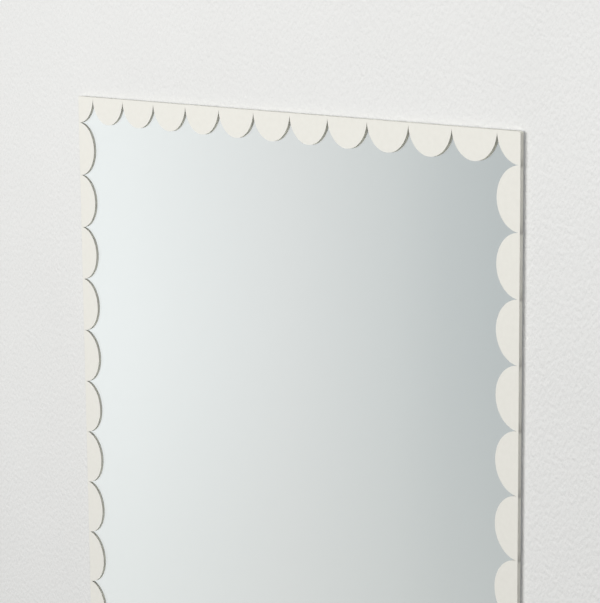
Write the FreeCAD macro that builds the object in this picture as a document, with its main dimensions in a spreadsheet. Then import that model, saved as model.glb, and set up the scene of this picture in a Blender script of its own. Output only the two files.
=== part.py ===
import FreeCAD, Part
import os
import Sketcher

# A frameless wall mirror: one pane of float glass, a scalloped border printed on its front,
# the mirror coats and a safety film on its back, and upright strips of foam tape that hold it
# close against the wall.
#
# +X is to the right as one faces the mirror, +Z is up, and the front looks along -Y. The wall
# is the plane Y = 0, so the rear faces of the tape lie there, and the origin is their middle.
# Every layer is drawn upright and padded forwards from its own rear face.

DRIVING_SIZES = [
    # the pane
    ("pane_width", "600", "width of the glass"),
    ("pane_height", "900", "height of the glass"),
    ("pane_thickness", "3", "float glass, a stock thickness"),
    ("corner_radius", "2", "the corners are only eased, seen from the front"),
    ("arris", "0.2", "a narrow flat ground along every front and rear edge"),
    # the printed border
    ("lobes_across", "12", "lobe spacings from corner to corner along the top"),
    ("lobes_down", "18", "lobe spacings from corner to corner down a side"),
    ("print_inset", "0.3", "bare glass outside the border, just past the arris"),
    ("print_thickness", "0.05", "screen printed enamel"),
    ("tip_margin", "1.6", "border left outside each pointed tip of clear glass"),
    ("root_share", "0.75", "share of the tip margin that the plain strip under the lobes takes"),
    # the coats on the back
    ("silver_thickness", "0.02", "drawn thicker than the real film of silver"),
    ("base_coat_thickness", "0.025", "first coat of backing paint"),
    ("top_coat_thickness", "0.03", "second coat of backing paint"),
    ("film_thickness", "0.12", "safety film with its adhesive"),
    ("film_margin", "3", "the film stops short of the edge of the glass"),
    ("film_corner_radius", "6", "rounded so that the film's corners don't lift"),
    # the mounting tape
    ("tape_thickness", "1", "double-sided closed-cell foam tape"),
    ("tape_width", "19", "a stock width"),
    ("tape_side_margin", "30", "from the side of the pane to the nearest strip"),
    ("tape_end_margin", "50", "from the top or bottom of the pane to the ends of the strips"),
]

DERIVED_SIZES = [
    # the rear face of each layer, measured forwards from the wall
    ("film_rear", "=tape_thickness"),
    ("top_coat_rear", "=film_rear + film_thickness"),
    ("base_coat_rear", "=top_coat_rear + top_coat_thickness"),
    ("silver_rear", "=base_coat_rear + base_coat_thickness"),
    ("glass_rear", "=silver_rear + silver_thickness"),
    ("print_rear", "=glass_rear + pane_thickness"),
    # the coats end where the rear arris begins
    ("coat_width", "=pane_width - 2 * arris"),
    ("coat_height", "=pane_height - 2 * arris"),
    ("coat_corner", "=corner_radius - arris"),
    ("film_width", "=pane_width - 2 * film_margin"),
    ("film_height", "=pane_height - 2 * film_margin"),
    # the border: round lobes centred on its outer edge, side by side from corner to corner
    ("print_width", "=pane_width - 2 * print_inset"),
    ("print_height", "=pane_height - 2 * print_inset"),
    ("print_corner", "=corner_radius - print_inset"),
    ("pitch_across", "=print_width / lobes_across"),
    ("pitch_down", "=print_height / lobes_down"),
    ("radius_across", "=sqrt((pitch_across / 2) ^ 2 + tip_margin ^ 2)"),
    ("radius_down", "=sqrt((pitch_down / 2) ^ 2 + tip_margin ^ 2)"),
    ("radius_corner", "=(radius_across + radius_down) / 2"),
    ("root_strip", "=tip_margin * root_share"),
    ("chord_inset", "=root_strip / 2"),
    # the strips of tape
    ("tape_length", "=pane_height - 2 * tape_end_margin"),
    ("tape_reach", "=pane_width / 2 - tape_side_margin - tape_width / 2"),
]

# The strips from left to right, evenly spaced between the outer two.
TAPE_STRIPS = ["tape_far_left", "tape_left", "tape_middle", "tape_right", "tape_far_right"]

START = 1
END = 2
CENTRE = 3
SKETCH_ORIGIN = (-1, 1)


def fill_sheet(doc):
    sheet = doc.addObject("Spreadsheet::Sheet", "Sizes")
    rows = [row[:2] for row in DRIVING_SIZES] + DERIVED_SIZES
    notes = {row[0]: row[2] for row in DRIVING_SIZES}
    for number, (alias, content) in enumerate(rows, start=1):
        sheet.set("A%d" % number, alias)
        sheet.set("B%d" % number, content)
        sheet.set("C%d" % number, notes.get(alias, "worked out"))
        sheet.setAlias("B%d" % number, alias)
    doc.recompute()
    return sheet


def new_body(doc, label, rear):
    # a body whose local XZ plane is the rear face of its layer
    body = doc.addObject("PartDesign::Body", label)
    body.Label = label
    body.setExpression(".Placement.Base.y", "-Sizes.%s" % rear)
    return body


def origin_feature(body, role):
    return next(f for f in body.Origin.OriginFeatures if f.Role == role)


def new_sketch(body, name):
    # upright, seen from the front: sketch X is the row's X, and sketch Y is up
    sketch = body.newObject("Sketcher::SketchObject", name)
    sketch.AttachmentSupport = [(origin_feature(body, "XZ_Plane"), "")]
    sketch.MapMode = "FlatFace"
    return sketch


def value_of(sketch, formula):
    return float(sketch.evalExpression(formula))


def dimension(sketch, name, kind, spots, formula):
    # a named constraint that follows the sheet
    value = value_of(sketch, formula)
    places = [number for spot in spots for number in spot]
    index = sketch.addConstraint(Sketcher.Constraint(kind, *places, value))
    sketch.renameConstraint(index, name)
    sketch.setExpression("Constraints.%s" % name, formula)


def offset_from_origin(sketch, name, kind, spot, side, formula):
    # side is +1 or -1, and the order of the two spots keeps the value positive
    spots = [SKETCH_ORIGIN, spot] if side > 0 else [spot, SKETCH_ORIGIN]
    dimension(sketch, name, kind, spots, formula)


def add_line(sketch, start, end):
    ends = [FreeCAD.Vector(*point, 0) for point in (start, end)]
    return sketch.addGeometry(Part.LineSegment(*ends))


def add_arc(sketch, centre, radius, start, end):
    # runs anticlockwise from the direction of start to that of end, both seen from the centre
    middle = FreeCAD.Vector(*centre, 0)
    circle = Part.Circle(middle, FreeCAD.Vector(0, 0, 1), radius)
    angles = [circle.parameter(middle + FreeCAD.Vector(*way, 0)) for way in (start, end)]
    return sketch.addGeometry(Part.ArcOfCircle(circle, *angles))


def join(sketch, first, second):
    sketch.addConstraint(Sketcher.Constraint("Coincident", *first, *second))


def rectangle_outline(sketch, name, width, height):
    # a sharp-cornered rectangle centred on the origin
    half_x = value_of(sketch, width) / 2
    half_z = value_of(sketch, height) / 2
    corners = [(-half_x, -half_z), (half_x, -half_z), (half_x, half_z), (-half_x, half_z)]
    sides = [add_line(sketch, corners[i], corners[(i + 1) % 4]) for i in range(4)]
    for i, side in enumerate(sides):
        join(sketch, (side, END), (sides[(i + 1) % 4], START))
        direction = "Horizontal" if i % 2 == 0 else "Vertical"
        sketch.addConstraint(Sketcher.Constraint(direction, side))
    middle = Sketcher.Constraint("Symmetric", sides[0], START, sides[2], START, *SKETCH_ORIGIN)
    sketch.addConstraint(middle)
    dimension(sketch, name + "Width", "DistanceX", [(sides[0], START), (sides[0], END)], width)
    dimension(sketch, name + "Height", "DistanceY", [(sides[1], START), (sides[1], END)], height)


def pad(body, sketch, name, thickness):
    feature = body.newObject("PartDesign::Pad", name)
    feature.Profile = sketch
    feature.setExpression("Length", "Sizes.%s" % thickness)
    sketch.Visibility = False
    return feature


def edges_of(feature, wanted):
    named = enumerate(feature.Shape.Edges, start=1)
    return ["Edge%d" % number for number, edge in named if wanted(edge)]


def dress(body, kind, name, base, wanted, size_name, formula):
    # a fillet or chamfer along the edges of the base that answer to wanted
    feature = body.newObject(kind, name)
    feature.Base = (base, edges_of(base, wanted))
    feature.setExpression(size_name, formula)
    return feature


def runs_front_to_back(edge):
    box = edge.BoundBox
    return box.YLength > box.XLength and box.YLength > box.ZLength


def lies_flat(edge):
    # in the plane of the front or the rear face
    box = edge.BoundBox
    return box.YLength < box.DiagonalLength / 2


def layer(doc, label, rear, width, height, thickness, corner):
    # a rectangular sheet with rounded corners, the shape of the pane, its coats and its film
    body = new_body(doc, label, rear)
    sketch = new_sketch(body, label + "_outline")
    rectangle_outline(sketch, "Sheet", "Sizes.%s" % width, "Sizes.%s" % height)
    sheet_pad = pad(body, sketch, label + "_sheet", thickness)
    doc.recompute()
    dress(
        body, "PartDesign::Fillet", label + "_corners", sheet_pad,
        runs_front_to_back, "Radius", "Sizes.%s" % corner,
    )
    doc.recompute()
    return body


def make_glass_pane(doc):
    body = layer(
        doc, "glass_pane", "glass_rear", "pane_width", "pane_height",
        "pane_thickness", "corner_radius",
    )
    dress(
        body, "PartDesign::Chamfer", "glass_pane_arris", body.Tip,
        lies_flat, "Size", "Sizes.arris",
    )
    doc.recompute()
    return body


def segment_lobe(sketch, name, axis, side, place, edge, radius):
    # the part of a disc that stands in from the border's outer edge. The disc is centred on that
    # edge. Its flat side lies inside the plain strip, so that lobe and strip join without a seam.
    # axis 0: on the right or left edge, at the height of place. axis 1: on the top or bottom edge.
    kinds = ["DistanceX", "DistanceY"]
    half = value_of(sketch, edge)
    where = -value_of(sketch, place)
    reach = value_of(sketch, radius)
    flat = half - value_of(sketch, "Sizes.chord_inset")
    spread = (reach ** 2 - (half - flat) ** 2) ** 0.5

    def point(along, out):
        return (side * out, along) if axis == 0 else (along, side * out)

    # the arc runs anticlockwise on the inner side of the flat
    turn = side if axis == 0 else -side
    centre = point(where, half)
    ends = [point(where + turn * spread, flat), point(where - turn * spread, flat)]
    ways = [(x - centre[0], y - centre[1]) for x, y in ends]
    arc = add_arc(sketch, centre, reach, *ways)
    line = add_line(sketch, ends[1], ends[0])
    join(sketch, (arc, END), (line, START))
    join(sketch, (line, END), (arc, START))
    sketch.addConstraint(Sketcher.Constraint("Vertical" if axis == 0 else "Horizontal", line))
    dimension(sketch, name + "Radius", "Radius", [(arc,)], radius)
    offset_from_origin(sketch, name + "Edge", kinds[axis], (arc, CENTRE), side, edge)
    offset_from_origin(sketch, name + "Place", kinds[1 - axis], (arc, CENTRE), -1, place)
    flat_formula = "%s - Sizes.chord_inset" % edge
    offset_from_origin(sketch, name + "Flat", kinds[axis], (line, START), side, flat_formula)


def corner_lobe(sketch, name, side_x, side_z):
    # a quarter disc centred on the sharp corner of the border's outer edge
    half_x = value_of(sketch, "Sizes.print_width / 2")
    half_z = value_of(sketch, "Sizes.print_height / 2")
    radius = value_of(sketch, "Sizes.radius_corner")
    inset = value_of(sketch, "Sizes.chord_inset")
    spread = (radius ** 2 - inset ** 2) ** 0.5
    on_side = (side_x * (half_x - inset), side_z * (half_z - spread))
    on_end = (side_x * (half_x - spread), side_z * (half_z - inset))
    corner = (side_x * (half_x - inset), side_z * (half_z - inset))
    centre = (side_x * half_x, side_z * half_z)
    # anticlockwise from the end edge to the side edge at the top right and bottom left
    ends = [on_end, on_side] if side_x * side_z > 0 else [on_side, on_end]
    ways = [(x - centre[0], y - centre[1]) for x, y in ends]
    arc = add_arc(sketch, centre, radius, *ways)
    first = add_line(sketch, ends[1], corner)
    second = add_line(sketch, corner, ends[0])
    join(sketch, (arc, END), (first, START))
    join(sketch, (first, END), (second, START))
    join(sketch, (second, END), (arc, START))
    upright, level = (first, second) if side_x * side_z > 0 else (second, first)
    sketch.addConstraint(Sketcher.Constraint("Vertical", upright))
    sketch.addConstraint(Sketcher.Constraint("Horizontal", level))
    dimension(sketch, name + "Radius", "Radius", [(arc,)], "Sizes.radius_corner")
    for kind, side, line, size in (
        ("DistanceX", side_x, upright, "Sizes.print_width / 2"),
        ("DistanceY", side_z, level, "Sizes.print_height / 2"),
    ):
        offset_from_origin(sketch, name + kind + "Centre", kind, (arc, CENTRE), side, size)
        flat_formula = "%s - Sizes.chord_inset" % size
        offset_from_origin(sketch, name + kind + "Flat", kind, (line, START), side, flat_formula)


def lobe_row(body, name, sketch, direction, count, pitch):
    # the first pair of lobes, repeated along both edges that carry them
    lobe = pad(body, sketch, name + "_lobe", "print_thickness")
    row = body.newObject("PartDesign::LinearPattern", name + "_row")
    row.Originals = [lobe]
    row.Direction = (sketch, [direction])
    row.setExpression("Occurrences", "Sizes.%s - 1" % count)
    row.setExpression("Length", "Sizes.%s * (Sizes.%s - 2)" % (pitch, count))
    body.Tip = row
    return row


def make_scallop_border(doc):
    body = new_body(doc, "scallop_border", "print_rear")
    outline = new_sketch(body, "border_outline")
    rectangle_outline(outline, "Outer", "Sizes.print_width", "Sizes.print_height")
    outer = pad(body, outline, "border_sheet", "print_thickness")
    doc.recompute()
    dress(
        body, "PartDesign::Fillet", "border_corners", outer,
        runs_front_to_back, "Radius", "Sizes.print_corner",
    )
    clear = new_sketch(body, "border_clear")
    rectangle_outline(
        clear, "Clear",
        "Sizes.print_width - 2 * Sizes.root_strip", "Sizes.print_height - 2 * Sizes.root_strip",
    )
    opening = body.newObject("PartDesign::Pocket", "border_opening")
    opening.Profile = clear
    opening.Type = "ThroughAll"
    opening.Midplane = True
    clear.Visibility = False

    corners = new_sketch(body, "corner_lobes")
    for name, side_x, side_z in (
        ("TopRight", 1, 1), ("TopLeft", -1, 1), ("BottomLeft", -1, -1), ("BottomRight", 1, -1),
    ):
        corner_lobe(corners, name, side_x, side_z)
    pad(body, corners, "corner_lobe_pads", "print_thickness")

    # the first lobe beside the left corners, on the top and the bottom edge
    across = new_sketch(body, "lobes_along_the_ends")
    first_x = "Sizes.print_width / 2 - Sizes.pitch_across"
    for name, side in (("Top", 1), ("Bottom", -1)):
        segment_lobe(
            across, name, 1, side, first_x, "Sizes.print_height / 2", "Sizes.radius_across"
        )
    lobe_row(body, "ends", across, "H_Axis", "lobes_across", "pitch_across")

    # the first lobe above the bottom corners, on the left and the right edge
    down = new_sketch(body, "lobes_along_the_sides")
    first_z = "Sizes.print_height / 2 - Sizes.pitch_down"
    for name, side in (("Right", 1), ("Left", -1)):
        segment_lobe(down, name, 0, side, first_z, "Sizes.print_width / 2", "Sizes.radius_down")
    lobe_row(body, "sides", down, "V_Axis", "lobes_down", "pitch_down")
    doc.recompute()
    return body


def make_backing(doc):
    # from the glass to the wall: silver, two coats of paint, and the film that holds splinters
    coats = [
        ("silver_coat", "silver_rear", "silver_thickness"),
        ("paint_base_coat", "base_coat_rear", "base_coat_thickness"),
        ("paint_top_coat", "top_coat_rear", "top_coat_thickness"),
    ]
    bodies = [
        layer(doc, label, rear, "coat_width", "coat_height", thickness, "coat_corner")
        for label, rear, thickness in coats
    ]
    bodies.append(
        layer(
            doc, "safety_film", "film_rear", "film_width", "film_height",
            "film_thickness", "film_corner_radius",
        )
    )
    return bodies


def make_tape(doc):
    # upright strips, so that water can drain between them
    strips = []
    gaps = len(TAPE_STRIPS) - 1
    for place, label in enumerate(TAPE_STRIPS):
        strip = doc.addObject("Part::Box", label)
        strip.Label = label
        strip.setExpression("Length", "Sizes.tape_width")
        strip.setExpression("Width", "Sizes.tape_thickness")
        strip.setExpression("Height", "Sizes.tape_length")
        left = "Sizes.tape_reach * (2 * %d / %d - 1) - Sizes.tape_width / 2" % (place, gaps)
        strip.setExpression(".Placement.Base.x", left)
        strip.setExpression(".Placement.Base.y", "-Sizes.tape_thickness")
        strip.setExpression(".Placement.Base.z", "-Sizes.tape_length / 2")
        strips.append(strip)
    doc.recompute()
    return strips


def check(doc, pieces):
    for item in doc.Objects:
        if "Invalid" in item.State or "Error" in item.State:
            raise RuntimeError("%s failed: %s" % (item.Name, item.State))
    for piece in pieces:
        shape = piece.Shape
        if shape.isNull() or not shape.isValid() or len(shape.Solids) != 1:
            raise RuntimeError("%s isn't one valid solid" % piece.Label)


def main():
    os.makedirs("parts", exist_ok=True)
    doc = FreeCAD.newDocument("wall_mirror")
    fill_sheet(doc)
    pieces = [make_glass_pane(doc), make_scallop_border(doc)]
    pieces += make_backing(doc)
    pieces += make_tape(doc)
    doc.recompute()
    check(doc, pieces)
    for piece in pieces:
        piece.Shape.exportStep("parts/%s.step" % piece.Label)
        print("%-16s %.4f cubic mm" % (piece.Label, piece.Shape.Volume))


main()
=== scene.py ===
import math

import bmesh
import bpy
from mathutils import Matrix, Vector


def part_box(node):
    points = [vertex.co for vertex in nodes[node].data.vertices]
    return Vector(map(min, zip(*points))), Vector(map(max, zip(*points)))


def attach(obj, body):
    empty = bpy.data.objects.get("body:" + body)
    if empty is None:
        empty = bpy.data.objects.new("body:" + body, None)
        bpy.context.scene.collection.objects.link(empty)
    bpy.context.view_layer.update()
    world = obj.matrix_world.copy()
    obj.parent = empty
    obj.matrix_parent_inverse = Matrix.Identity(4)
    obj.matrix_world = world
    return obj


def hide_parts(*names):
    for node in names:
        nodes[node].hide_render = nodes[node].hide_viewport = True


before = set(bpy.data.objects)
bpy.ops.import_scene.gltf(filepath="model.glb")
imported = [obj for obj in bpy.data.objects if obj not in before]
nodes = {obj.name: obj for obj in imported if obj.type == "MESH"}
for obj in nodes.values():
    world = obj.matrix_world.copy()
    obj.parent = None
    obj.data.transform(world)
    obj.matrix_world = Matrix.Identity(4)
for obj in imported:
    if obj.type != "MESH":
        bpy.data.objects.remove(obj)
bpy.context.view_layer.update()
millimetre = 0.001
lobesAcross = 12
lobesDown = 18
print("frame loaded:", len(nodes), "nodes")


# small helpers for meshes

meshSetting = {
    "flatFace": 0.9,  # a face lies flat to the wall when its normal has at least this much of y
    "sharpAngle": math.radians(20),
    "roundProfile": 0.5,  # the bevel's value for an arc of a circle
}


def newObject(name, bm, materials):
    mesh = bpy.data.meshes.new(name)
    bm.to_mesh(mesh)
    bm.free()
    for material in materials:
        mesh.materials.append(material)
    piece = bpy.data.objects.new(name, mesh)
    bpy.context.scene.collection.objects.link(piece)
    return piece


def facesFrontOrBack(face):
    return abs(face.normal.y) > meshSetting["flatFace"]


def facesWall(face):
    return face.normal.y > meshSetting["flatFace"]


def uprightRectangle(bm, low, high):
    # one upright quad at the front of the box, from a unit square: size is half a side
    made = bmesh.ops.create_grid(bm, x_segments=1, y_segments=1, size=0.5)["verts"]
    upright = Matrix.Rotation(math.radians(90), 3, "X")
    bmesh.ops.rotate(bm, verts=made, cent=(0, 0, 0), matrix=upright)
    bmesh.ops.scale(bm, verts=made, vec=(high.x - low.x, 1, high.z - low.z))
    middle = Vector(((low.x + high.x) / 2, low.y, (low.z + high.z) / 2))
    bmesh.ops.translate(bm, verts=made, vec=middle)
    return made


def roundCorners(bm, corners, radius, segments):
    bmesh.ops.bevel(
        bm, geom=corners, offset=radius, offset_type="OFFSET", segments=segments,
        profile=meshSetting["roundProfile"], affect="VERTICES", material=-1,
    )


def thicken(bm, depth):
    # from the flat outline towards the wall
    grown = bmesh.ops.extrude_face_region(bm, geom=bm.faces[:])["geom"]
    moved = [item for item in grown if isinstance(item, bmesh.types.BMVert)]
    bmesh.ops.translate(bm, verts=moved, vec=(0, depth, 0))
    bmesh.ops.recalc_face_normals(bm, faces=bm.faces)
    bm.normal_update()


def smoothSides(bm):
    # round corners shade smooth, and the flat faces and straight edges stay crisp
    for face in bm.faces:
        face.smooth = not facesFrontOrBack(face)
    for edge in bm.edges:
        edge.smooth = edge.calc_face_angle(math.pi) < meshSetting["sharpAngle"]


def roundedSheet(low, high, radius, segments):
    bm = bmesh.new()
    corners = uprightRectangle(bm, low, high)
    roundCorners(bm, corners, radius, segments)
    thicken(bm, high.y - low.y)
    return bm


# small helpers for materials

def newMaterial(name):
    material = bpy.data.materials.new(name)
    material.use_nodes = True
    tree = material.node_tree
    return material, tree, tree.nodes["Principled BSDF"]


def newNode(tree, kind, **settings):
    node = tree.nodes.new(kind)
    for name, value in settings.items():
        setattr(node, name, value)
    return node


def mathNode(tree, operation, *values):
    # each value is a number or another node's output
    node = newNode(tree, "ShaderNodeMath", operation=operation)
    for place, value in enumerate(values):
        if isinstance(value, bpy.types.NodeSocket):
            tree.links.new(value, node.inputs[place])
        else:
            node.inputs[place].default_value = value
    return node.outputs["Value"]


def splitAxes(tree, coordinates):
    place = newNode(tree, "ShaderNodeTexCoord")
    axes = newNode(tree, "ShaderNodeSeparateXYZ")
    tree.links.new(place.outputs[coordinates], axes.inputs["Vector"])
    return axes.outputs


def addRamp(tree, value, table):
    # a colour ramp from a table of positions, colours and shares
    ramp = newNode(tree, "ShaderNodeValToRGB")
    stops = ramp.color_ramp.elements
    between = 0.5  # where a new stop waits for its own position
    while len(stops) < len(table):
        stops.new(between)
    for stop, (position, colour, amount) in zip(stops, table):
        stop.position = position
        stop.color = (*colour, amount)
    tree.links.new(value, ramp.inputs["Fac"])
    return ramp


grainSetting = {
    "detail": 3.0,
    "noiseLow": 0.3,  # nearly all of the noise lies from here
    "noiseHigh": 0.7,  # to here, which is spread from Low to High
}


def makeGrainGroup(setting):
    # fine mottling in Object coordinates: a value from Low to High, and a height for a bump
    group = bpy.data.node_groups.new("fineGrain", "ShaderNodeTree")
    sockets = {"INPUT": ("Scale", "Low", "High"), "OUTPUT": ("Value", "Height")}
    for side, names in sockets.items():
        for name in names:
            group.interface.new_socket(name, in_out=side, socket_type="NodeSocketFloat")
    outside = newNode(group, "NodeGroupInput")
    result = newNode(group, "NodeGroupOutput")
    place = newNode(group, "ShaderNodeTexCoord")
    noise = newNode(group, "ShaderNodeTexNoise")
    noise.inputs["Detail"].default_value = setting["detail"]
    spread = newNode(group, "ShaderNodeMapRange")
    spread.inputs["From Min"].default_value = setting["noiseLow"]
    spread.inputs["From Max"].default_value = setting["noiseHigh"]
    link = group.links.new
    link(place.outputs["Object"], noise.inputs["Vector"])
    link(outside.outputs["Scale"], noise.inputs["Scale"])
    link(noise.outputs["Fac"], spread.inputs["Value"])
    link(outside.outputs["Low"], spread.inputs["To Min"])
    link(outside.outputs["High"], spread.inputs["To Max"])
    link(spread.outputs["Result"], result.inputs["Value"])
    link(noise.outputs["Fac"], result.inputs["Height"])
    return group


grainGroup = makeGrainGroup(grainSetting)


def addGrain(tree, scale, low=0.0, high=1.0):
    node = newNode(tree, "ShaderNodeGroup", node_tree=grainGroup)
    for name, value in (("Scale", scale), ("Low", low), ("High", high)):
        node.inputs[name].default_value = value
    return node


def mottle(tree, shader, grain, darker, lighter):
    # the colour wanders between two close shades
    mix = newNode(tree, "ShaderNodeMix", data_type="RGBA")
    mix.inputs["A"].default_value = (*darker, 1)
    mix.inputs["B"].default_value = (*lighter, 1)
    tree.links.new(addGrain(tree, grain).outputs["Value"], mix.inputs["Factor"])
    tree.links.new(mix.outputs["Result"], shader.inputs["Base Color"])


def addSheen(tree, shader, grain, roughness):
    # the roughness wanders between two values
    sheen = addGrain(tree, grain, *roughness)
    tree.links.new(sheen.outputs["Value"], shader.inputs["Roughness"])


def addBump(tree, shader, height, strength, distance):
    bump = newNode(tree, "ShaderNodeBump")
    bump.inputs["Strength"].default_value = strength
    bump.inputs["Distance"].default_value = distance
    tree.links.new(height, bump.inputs["Height"])
    tree.links.new(bump.outputs["Normal"], shader.inputs["Normal"])


def makeCoat(setting, name, darker, lighter):
    # what print, paint, film and foam share: a mottled colour and a sheen
    material, tree, shader = newMaterial(name)
    mottle(tree, shader, setting["grain"], darker, lighter)
    addSheen(tree, shader, setting["sheenGrain"], setting["roughness"])
    return material, tree, shader


def makeBumpyCoat(setting, name, darker, lighter):
    # print and paint have small soft bumps as well
    material, tree, shader = makeCoat(setting, name, darker, lighter)
    peel = addGrain(tree, setting["bumpGrain"])
    addBump(tree, shader, peel.outputs["Height"], setting["bumpStrength"], setting["bumpHeight"])
    return material


def letThrough(tree, share):
    # this share of what meets the material passes straight through it
    shader = tree.nodes["Principled BSDF"]
    straight = newNode(tree, "ShaderNodeBsdfTransparent")
    mix = newNode(tree, "ShaderNodeMixShader")
    tree.links.new(share, mix.inputs["Fac"])
    tree.links.new(shader.outputs["BSDF"], mix.inputs[1])
    tree.links.new(straight.outputs["BSDF"], mix.inputs[2])
    tree.links.new(mix.outputs["Shader"], tree.nodes["Material Output"].inputs["Surface"])


depthSetting = {
    # how often a ray has been scattered is a whole number, so half steps tell the numbers apart
    "firstScatter": 0.5,
    "secondScatter": 1.5,
}


# camera: where the photograph was taken from, off to the right and a little above the top edge

cameraSetting = {
    "place": (1.43473, -1.10675, 0.57457),  # metres
    "aim": (0.03699, -0.0042, 0.29242),
    "roll": -0.5122,  # degrees
    "focalPixels": 2149.57,
    "longSide": 603,  # pixels
    "sensor": 36.0,  # millimetres, as the lens has them
}


def makeCamera(setting):
    data = bpy.data.cameras.new("camera")
    data.sensor_fit = "AUTO"
    data.sensor_width = setting["sensor"]
    data.lens = setting["sensor"] * setting["focalPixels"] / setting["longSide"]
    camera = bpy.data.objects.new("camera", data)
    look = Vector(setting["aim"]) - Vector(setting["place"])
    level = look.to_track_quat("-Z", "Y").to_matrix().to_4x4()
    roll = Matrix.Rotation(math.radians(setting["roll"]), 4, "Z")
    camera.matrix_world = Matrix.Translation(setting["place"]) @ level @ roll
    bpy.context.scene.collection.objects.link(camera)
    bpy.context.scene.camera = camera


makeCamera(cameraSetting)
bpy.context.scene.view_settings.view_transform = "Standard"
print("camera set")


# glass pane: float glass with round corners and an eased, ground edge that scatters the light

paneSetting = {
    "cornerRadius": 2.0 * millimetre,
    "cornerSegments": 10,
    "arris": 0.2 * millimetre,
    "tint": (0.985, 0.997, 0.993),
    "clearTransmission": 1.0,
    "refraction": 1.52,
    "wipeGrain": 14.0,
    "wipeRoughness": (0.0, 0.004),
    "groundColour": (0.855, 0.845, 0.765),
    "groundTransmission": 0.2,
    "groundGrain": 900.0,
    "groundRoughness": (0.4, 0.55),
    # painted light and shade down the side of each lobe, from point to point: place and how bright
    # the ground edge's colour is painted there
    "paintedLobeShade": (
        (0.0, 0.66), (0.05, 1.02), (0.15, 1.06), (0.5, 1.0), (0.85, 0.92), (0.96, 0.76), (1.0, 0.66),
    ),
    "lobeMiddle": 0.5,
}


def makeGlassMaterial(setting, name, colour, transmission, grain, roughness):
    material, tree, shader = newMaterial(name)
    shader.inputs["Base Color"].default_value = (*colour, 1)
    shader.inputs["IOR"].default_value = setting["refraction"]
    shader.inputs["Transmission Weight"].default_value = transmission
    addSheen(tree, shader, grain, roughness)
    return material


def letScatteredLightPass(material):
    # light that has been scattered below the glass leaves it without being turned back
    tree = material.node_tree
    light = newNode(tree, "ShaderNodeLightPath")
    depth = light.outputs["Diffuse Depth"]
    letThrough(tree, mathNode(tree, "GREATER_THAN", depth, depthSetting["firstScatter"]))


def paintLobeShade(material, setting):
    # painted light and shade: the ground edge's colour is made darker at the level of each lobe's
    # points and lighter just below them, standing in for how the print shades the light inside the
    # glass along the upright edges;
    # the pane's middle is at the middle of a lobe
    tree = material.node_tree
    printLow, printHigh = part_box("scallop_border")
    pitch = (printHigh.z - printLow.z) / lobesDown
    lobes = mathNode(tree, "DIVIDE", splitAxes(tree, "Object")["Z"], pitch)
    along = mathNode(tree, "FRACT", mathNode(tree, "SUBTRACT", setting["lobeMiddle"], lobes))
    shades = addRamp(tree, along, [
        (position, [amount * part for part in setting["groundColour"]], 1.0)
        for position, amount in setting["paintedLobeShade"]])
    shader = tree.nodes["Principled BSDF"]
    tree.links.new(shades.outputs["Color"], shader.inputs["Base Color"])


def makePane(setting):
    low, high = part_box("glass_pane")
    bm = roundedSheet(low, high, setting["cornerRadius"], setting["cornerSegments"])
    outline = [
        edge for edge in bm.edges
        if len([face for face in edge.link_faces if facesFrontOrBack(face)]) == 1
    ]
    bmesh.ops.bevel(
        bm, geom=outline, offset=setting["arris"], offset_type="OFFSET", segments=1,
        profile=meshSetting["roundProfile"], affect="EDGES", material=-1,
    )
    bm.normal_update()
    for face in bm.faces:
        face.material_index = 0 if facesFrontOrBack(face) else 1
    smoothSides(bm)
    clear = makeGlassMaterial(
        setting, "clearGlass", setting["tint"], setting["clearTransmission"],
        setting["wipeGrain"], setting["wipeRoughness"])
    letScatteredLightPass(clear)
    ground = makeGlassMaterial(
        setting, "groundEdge", setting["groundColour"], setting["groundTransmission"],
        setting["groundGrain"], setting["groundRoughness"])
    # the ground edge gets painted light and shade along each lobe
    paintLobeShade(ground, setting)
    piece = newObject("glassPane", bm, [clear, ground])
    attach(piece, "root")
    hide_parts("glass_pane")


makePane(paneSetting)
print("glass pane made")


# silver coat: its front is sunk a hair into the glass, so that no air is between them

silverSetting = {
    "sink": 0.02 * millimetre,
    "cornerRadius": 1.8 * millimetre,
    "cornerSegments": 10,
    "colour": (0.945, 0.962, 0.96),
    "cloudGrain": 9.0,
    "cloudRoughness": (0.0, 0.008),
}


def makeSilver(setting):
    material, tree, shader = newMaterial("silverCoat")
    shader.inputs["Base Color"].default_value = (*setting["colour"], 1)
    shader.inputs["Metallic"].default_value = 1
    addSheen(tree, shader, setting["cloudGrain"], setting["cloudRoughness"])
    low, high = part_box("silver_coat")
    front = low - Vector((0, setting["sink"], 0))
    bm = roundedSheet(front, high, setting["cornerRadius"], setting["cornerSegments"])
    smoothSides(bm)
    piece = newObject("silverCoat", bm, [material])
    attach(piece, "root")
    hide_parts("silver_coat")


makeSilver(silverSetting)
print("silver coat made")


# scalloped border: round lobes from corner to corner, printed on the front of the glass

borderSetting = {
    "tipMargin": 1.6 * millimetre,
    "cornerRadius": 1.7 * millimetre,
    "cornerSegments": 10,
    "lobeSteps": 40,
    "joinReach": 0.05 * millimetre,
    "sink": 0.02 * millimetre,  # into the glass, so that light inside it meets the ink
    "darker": (0.865, 0.85, 0.785),
    "lighter": (0.89, 0.875, 0.81),
    "underDarker": (0.98, 0.945, 0.845),
    "underLighter": (0.995, 0.965, 0.865),
    "grain": 220.0,
    "sheenGrain": 40.0,
    "roughness": (0.3, 0.42),
    "bumpGrain": 1800.0,
    "bumpStrength": 0.3,
    "bumpHeight": 0.012 * millimetre,
}


def spinArc(bm, centre, arm, angle, steps):
    # a chain of edges round the centre, anticlockwise as seen from the front
    seed = bmesh.ops.create_vert(bm, co=centre + arm)["vert"]
    bmesh.ops.spin(
        bm, geom=seed, cent=centre, axis=(0, -1, 0), dvec=(0, 0, 0), angle=angle,
        steps=steps, use_merge=False, use_duplicate=False,
    )


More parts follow.
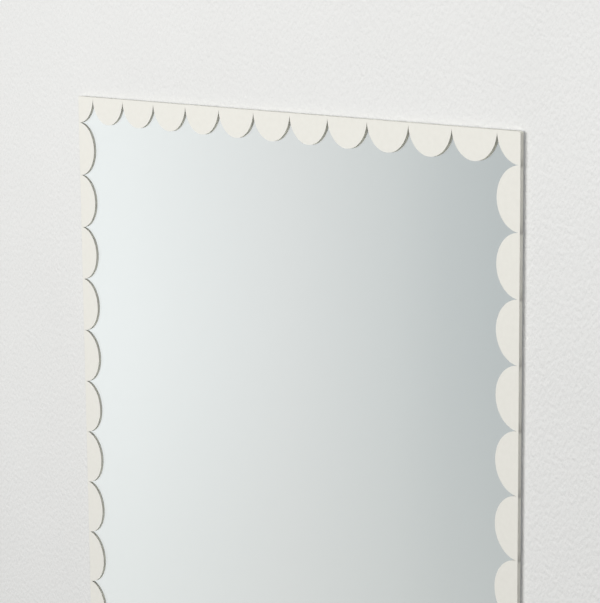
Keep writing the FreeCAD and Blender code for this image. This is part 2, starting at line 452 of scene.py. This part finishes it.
def drawScallops(bm, low, high, setting):
    # one arc for each lobe, from point to point, all round the clear glass
    acrossPitch = (high.x - low.x) / lobesAcross
    downPitch = (high.z - low.z) / lobesDown
    tip = setting["tipMargin"]
    steps = setting["lobeSteps"]
    acrossRise = math.atan2(tip, acrossPitch / 2)
    downRise = math.atan2(tip, downPitch / 2)
    for z, inward in ((high.z, -1), (low.z, 1)):
        sweep = -inward * (math.pi - 2 * acrossRise)
        arm = Vector((-acrossPitch / 2, 0, inward * tip))
        for lobe in range(1, lobesAcross):
            centre = Vector((low.x + lobe * acrossPitch, low.y, z))
            spinArc(bm, centre, arm, sweep, steps)
    for x, inward in ((low.x, 1), (high.x, -1)):
        sweep = inward * (math.pi - 2 * downRise)
        arm = Vector((inward * tip, 0, -downPitch / 2))
        for lobe in range(1, lobesDown):
            centre = Vector((x, low.y, low.z + lobe * downPitch))
            spinArc(bm, centre, arm, sweep, steps)
    for x, sideways in ((low.x, 1), (high.x, -1)):
        for z, upDown in ((low.z, 1), (high.z, -1)):
            sweep = -sideways * upDown * (math.pi / 2 - acrossRise - downRise)
            arm = Vector((sideways * tip, 0, upDown * downPitch / 2))
            spinArc(bm, Vector((x, low.y, z)), arm, sweep, steps // 2)
    bmesh.ops.remove_doubles(bm, verts=bm.verts, dist=setting["joinReach"])


def makeBorder(setting):
    low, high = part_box("scallop_border")
    bm = bmesh.new()
    corners = uprightRectangle(bm, low, high)
    roundCorners(bm, corners, setting["cornerRadius"], setting["cornerSegments"])
    bmesh.ops.delete(bm, geom=bm.faces[:], context="FACES_ONLY")
    sides = [edge for edge in bm.edges if edge.calc_length() > (high.x - low.x) / 2]
    bmesh.ops.subdivide_edges(bm, edges=sides, cuts=lobesDown - 1)
    drawScallops(bm, low, high, setting)
    bmesh.ops.triangle_fill(
        bm, use_beauty=True, use_dissolve=False, edges=bm.edges[:], normal=(0, -1, 0))
    thicken(bm, high.y - low.y + setting["sink"])
    for face in bm.faces:
        face.material_index = 1 if facesWall(face) else 0
    smoothSides(bm)
    ink = makeBumpyCoat(setting, "borderInk", setting["darker"], setting["lighter"])
    underInk = makeBumpyCoat(setting, "underInk", setting["underDarker"], setting["underLighter"])
    piece = newObject("scallopBorder", bm, [ink, underInk])
    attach(piece, "root")
    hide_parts("scallop_border")
    return piece


border = makeBorder(borderSetting)
print("scalloped border made:", len(border.data.polygons), "faces")


# the layers on the back keep their solids from the frame and get their finishes here

def dress(names, material):
    for name in names:
        slots = nodes[name].data.materials
        slots.clear()
        slots.append(material)


paintSetting = {
    "baseDarker": (0.17, 0.10, 0.06),
    "baseLighter": (0.23, 0.14, 0.085),
    "topDarker": (0.24, 0.27, 0.29),
    "topLighter": (0.28, 0.31, 0.33),
    "grain": 160.0,
    "sheenGrain": 30.0,
    "roughness": (0.45, 0.65),
    "bumpGrain": 700.0,
    "bumpStrength": 0.5,
    "bumpHeight": 0.01 * millimetre,
}

dress(["paint_base_coat"], makeBumpyCoat(
    paintSetting, "basePaint", paintSetting["baseDarker"], paintSetting["baseLighter"]))
dress(["paint_top_coat"], makeBumpyCoat(
    paintSetting, "topPaint", paintSetting["topDarker"], paintSetting["topLighter"]))
print("backing paint finished")


filmSetting = {
    "darker": (0.60, 0.64, 0.68),
    "lighter": (0.66, 0.70, 0.735),
    "grain": 35.0,
    "sheenGrain": 60.0,
    "roughness": (0.28, 0.42),
    "diamondPitch": 1.6 * millimetre,
    "embossStrength": 0.8,
    "embossHeight": 0.05 * millimetre,
}


def diamondEmboss(tree, pitch):
    # two sets of fine ridges that cross on the slant
    axes = splitAxes(tree, "Object")
    waves = []
    for operation in ("ADD", "SUBTRACT"):
        slant = mathNode(tree, operation, axes["X"], axes["Z"])
        turns = mathNode(tree, "MULTIPLY", slant, math.pi / pitch)
        waves.append(mathNode(tree, "ABSOLUTE", mathNode(tree, "SINE", turns)))
    return mathNode(tree, "MINIMUM", *waves)


def makeFilm(setting):
    material, tree, shader = makeCoat(
        setting, "safetyFilm", setting["darker"], setting["lighter"])
    ridges = diamondEmboss(tree, setting["diamondPitch"])
    addBump(tree, shader, ridges, setting["embossStrength"], setting["embossHeight"])
    return material


dress(["safety_film"], makeFilm(filmSetting))
print("safety film finished")


tapeSetting = {
    "darker": (0.74, 0.74, 0.72),
    "lighter": (0.81, 0.81, 0.79),
    "grain": 120.0,
    "sheenGrain": 25.0,
    "roughness": (0.55, 0.8),
    "cellScale": 1100.0,
    "cellStrength": 0.6,
    "cellHeight": 0.08 * millimetre,
}


def makeFoam(setting):
    material, tree, shader = makeCoat(
        setting, "foamTape", setting["darker"], setting["lighter"])
    place = newNode(tree, "ShaderNodeTexCoord")
    cells = newNode(tree, "ShaderNodeTexVoronoi")
    cells.inputs["Scale"].default_value = setting["cellScale"]
    tree.links.new(place.outputs["Object"], cells.inputs["Vector"])
    addBump(tree, shader, cells.outputs["Distance"], setting["cellStrength"], setting["cellHeight"])
    return material


dress([name for name in nodes if name.startswith("tape_")], makeFoam(tapeSetting))
print("foam tape finished")


# stage: a painted wall behind the mirror and a pale floor, both seen through from behind

stageSetting = {
    "wallLow": Vector((-5.0, 0.05 * millimetre, -1.05)),  # a hair behind the tape
    "wallHigh": Vector((5.0, 0.05 * millimetre, 2.6)),
    "wallDarker": (0.845, 0.845, 0.83),
    "wallLighter": (0.865, 0.865, 0.85),
    "wallGrain": 6.0,
    "wallRoughness": 0.6,
    "peelScale": 330.0,  # bumps in each metre
    "peelDetail": 2.0,
    "peelStrength": 1.0,
    "peelHeight": 1.1 * millimetre,
    "peelTurn": math.radians(35),
    "peelStretch": 0.7,
    "floorReach": 1.6,
    "floorGone": 1.55,  # how far out the floor has faded away
    "floorWhole": 0.6,  # how far out it is still whole
    "floorDarker": (0.78, 0.78, 0.77),
    "floorLighter": (0.80, 0.80, 0.79),
    "floorGrain": 12.0,
    "floorRoughness": 0.7,
}


def seeThroughFromBehind(tree):
    # the back of the mirror can be seen and lit through the stage
    light = newNode(tree, "ShaderNodeLightPath")
    side = newNode(tree, "ShaderNodeNewGeometry")
    depth = light.outputs["Diffuse Depth"]
    fromBehind = mathNode(
        tree, "MULTIPLY", side.outputs["Backfacing"], light.outputs["Is Camera Ray"])
    unscattered = mathNode(tree, "LESS_THAN", depth, depthSetting["firstScatter"])
    firstShadow = mathNode(tree, "MULTIPLY", light.outputs["Is Shadow Ray"], unscattered)
    onceAtMost = mathNode(tree, "LESS_THAN", depth, depthSetting["secondScatter"])
    firstBounce = mathNode(tree, "MULTIPLY", light.outputs["Is Diffuse Ray"], onceAtMost)
    either = mathNode(tree, "MAXIMUM", firstShadow, firstBounce)
    letThrough(tree, mathNode(tree, "MAXIMUM", fromBehind, either))


def makeWallPaint(setting):
    # rolled paint with the small soft bumps of orange peel
    material, tree, shader = newMaterial("wallPaint")
    shader.inputs["Roughness"].default_value = setting["wallRoughness"]
    mottle(tree, shader, setting["wallGrain"], setting["wallDarker"], setting["wallLighter"])
    place = newNode(tree, "ShaderNodeTexCoord")
    lean = newNode(tree, "ShaderNodeMapping")
    lean.inputs["Rotation"].default_value = (0, setting["peelTurn"], 0)
    lean.inputs["Scale"].default_value = (1, 1, setting["peelStretch"])
    peel = newNode(tree, "ShaderNodeTexNoise")
    peel.inputs["Scale"].default_value = setting["peelScale"]
    peel.inputs["Detail"].default_value = setting["peelDetail"]
    tree.links.new(place.outputs["Object"], lean.inputs["Vector"])
    tree.links.new(lean.outputs["Vector"], peel.inputs["Vector"])
    addBump(tree, shader, peel.outputs["Fac"], setting["peelStrength"], setting["peelHeight"])
    seeThroughFromBehind(tree)
    return material


def makeFloorPaint(setting):
    # whole around the mirror and faded away before its own rim
    material, tree, shader = newMaterial("floorPaint")
    shader.inputs["Roughness"].default_value = setting["floorRoughness"]
    mottle(tree, shader, setting["floorGrain"], setting["floorDarker"], setting["floorLighter"])
    place = newNode(tree, "ShaderNodeTexCoord")
    level = newNode(tree, "ShaderNodeVectorMath", operation="MULTIPLY")
    level.inputs[1].default_value = (1, 1, 0)
    reach = newNode(tree, "ShaderNodeVectorMath", operation="LENGTH")
    fade = newNode(tree, "ShaderNodeMapRange", interpolation_type="SMOOTHSTEP")
    fade.inputs["From Min"].default_value = setting["floorGone"]
    fade.inputs["From Max"].default_value = setting["floorWhole"]
    tree.links.new(place.outputs["Object"], level.inputs[0])
    tree.links.new(level.outputs["Vector"], reach.inputs[0])
    tree.links.new(reach.outputs["Value"], fade.inputs["Value"])
    tree.links.new(fade.outputs["Result"], shader.inputs["Alpha"])
    seeThroughFromBehind(tree)
    return material


def makeStage(setting):
    bm = bmesh.new()
    uprightRectangle(bm, setting["wallLow"], setting["wallHigh"])
    wall = newObject("wall", bm, [makeWallPaint(setting)])
    bm = bmesh.new()
    reach = setting["floorReach"]
    made = bmesh.ops.create_grid(bm, x_segments=1, y_segments=1, size=reach)["verts"]
    bmesh.ops.translate(bm, verts=made, vec=(0, 0, setting["wallLow"].z))
    floor = newObject("floor", bm, [makeFloorPaint(setting)])


makeStage(stageSetting)
print("stage made")


# light: a large soft lamp in front at the left, a weak one high at the right, one behind the
# wall for views of the back, and a room that looks pale but gives little light

lightSetting = {
    # degrees round from straight in front towards the left, and how bright the room looks there
    "room": (
        (-180, (0.90, 0.90, 0.89)),
        (-80, (0.98, 0.98, 0.965)),
        (-35, (0.94, 0.94, 0.92)),
        (5, (0.53, 0.545, 0.55)),
        (38, (0.49, 0.51, 0.515)),
        (47, (0.53, 0.555, 0.56)),
        (49, (0.638, 0.656, 0.655)),
        (52, (0.755, 0.762, 0.760)),
        (57, (0.908, 0.925, 0.925)),
        (90, (0.93, 0.93, 0.93)),
        (180, (0.90, 0.90, 0.89)),
    ),
    # height of a direction that looks down, the lower room's colour there, and its share
    "lower": (
        (-0.60, (0.92, 0.91, 0.88), 1.0),
        (-0.33, (0.61, 0.61, 0.585), 0.33),
        (-0.15, (0.61, 0.61, 0.585), 0.0),
    ),
    "rampMiddle": 0.5,  # a ramp runs from 0 to 1; its middle is straight in front, or level
    "ambient": (0.18, 0.18, 0.18),
    "lamps": {
        "key": {"place": (-0.66, -1.95, 0.76), "size": 1.3, "power": 32.2},
        "fill": {"place": (1.42, -1.08, 1.4), "size": 0.5, "power": 13.7},
        "back": {"place": (0.9, 2.8, 1.4), "size": 1.4, "power": 70.0},
    },
}


def makeRoom(setting):
    world = bpy.data.worlds.new("room")
    world.use_nodes = True
    bpy.context.scene.world = world
    tree = world.node_tree
    middle = setting["rampMiddle"]
    axes = splitAxes(tree, "Generated")
    left = mathNode(tree, "MULTIPLY", axes["X"], -1)
    ahead = mathNode(tree, "MULTIPLY", axes["Y"], -1)
    turn = mathNode(tree, "ARCTAN2", left, ahead)
    share = mathNode(tree, "MULTIPLY_ADD", turn, 1 / (2 * math.pi), middle)
    room = addRamp(tree, share, [
        (angle / 360 + middle, colour, 1.0) for angle, colour in setting["room"]])
    drop = mathNode(tree, "MULTIPLY_ADD", axes["Z"], 1 / 2, middle)
    lower = addRamp(tree, drop, [
        (height / 2 + middle, colour, amount) for height, colour, amount in setting["lower"]])
    lower.color_ramp.interpolation = "EASE"
    around = newNode(tree, "ShaderNodeMix", data_type="RGBA")
    tree.links.new(lower.outputs["Alpha"], around.inputs["Factor"])
    tree.links.new(room.outputs["Color"], around.inputs["A"])
    tree.links.new(lower.outputs["Color"], around.inputs["B"])
    # seen directly, in the mirror and through glass it is the pale room, and else a weak light
    ray = newNode(tree, "ShaderNodeLightPath")
    mirrored = mathNode(
        tree, "MAXIMUM", ray.outputs["Is Glossy Ray"], ray.outputs["Is Transmission Ray"])
    seen = mathNode(tree, "MAXIMUM", ray.outputs["Is Camera Ray"], mirrored)
    choice = newNode(tree, "ShaderNodeMix", data_type="RGBA")
    choice.inputs["A"].default_value = (*setting["ambient"], 1)
    tree.links.new(seen, choice.inputs["Factor"])
    tree.links.new(around.outputs["Result"], choice.inputs["B"])
    tree.links.new(choice.outputs["Result"], tree.nodes["Background"].inputs["Color"])


def makeLamp(name, place, size, power):
    # it is turned to the middle of the mirror, and the mirror doesn't show it
    data = bpy.data.lights.new(name, "AREA")
    data.shape = "SQUARE"
    data.size = size
    data.energy = power
    lamp = bpy.data.objects.new(name, data)
    aim = -Vector(place)
    turn = aim.to_track_quat("-Z", "Y").to_matrix().to_4x4()
    lamp.matrix_world = Matrix.Translation(place) @ turn
    lamp.visible_camera = False
    lamp.visible_glossy = False
    lamp.visible_transmission = False
    bpy.context.scene.collection.objects.link(lamp)


makeRoom(lightSetting)
for lampName, lamp in lightSetting["lamps"].items():
    makeLamp(lampName, lamp["place"], lamp["size"], lamp["power"])
print("lights set")
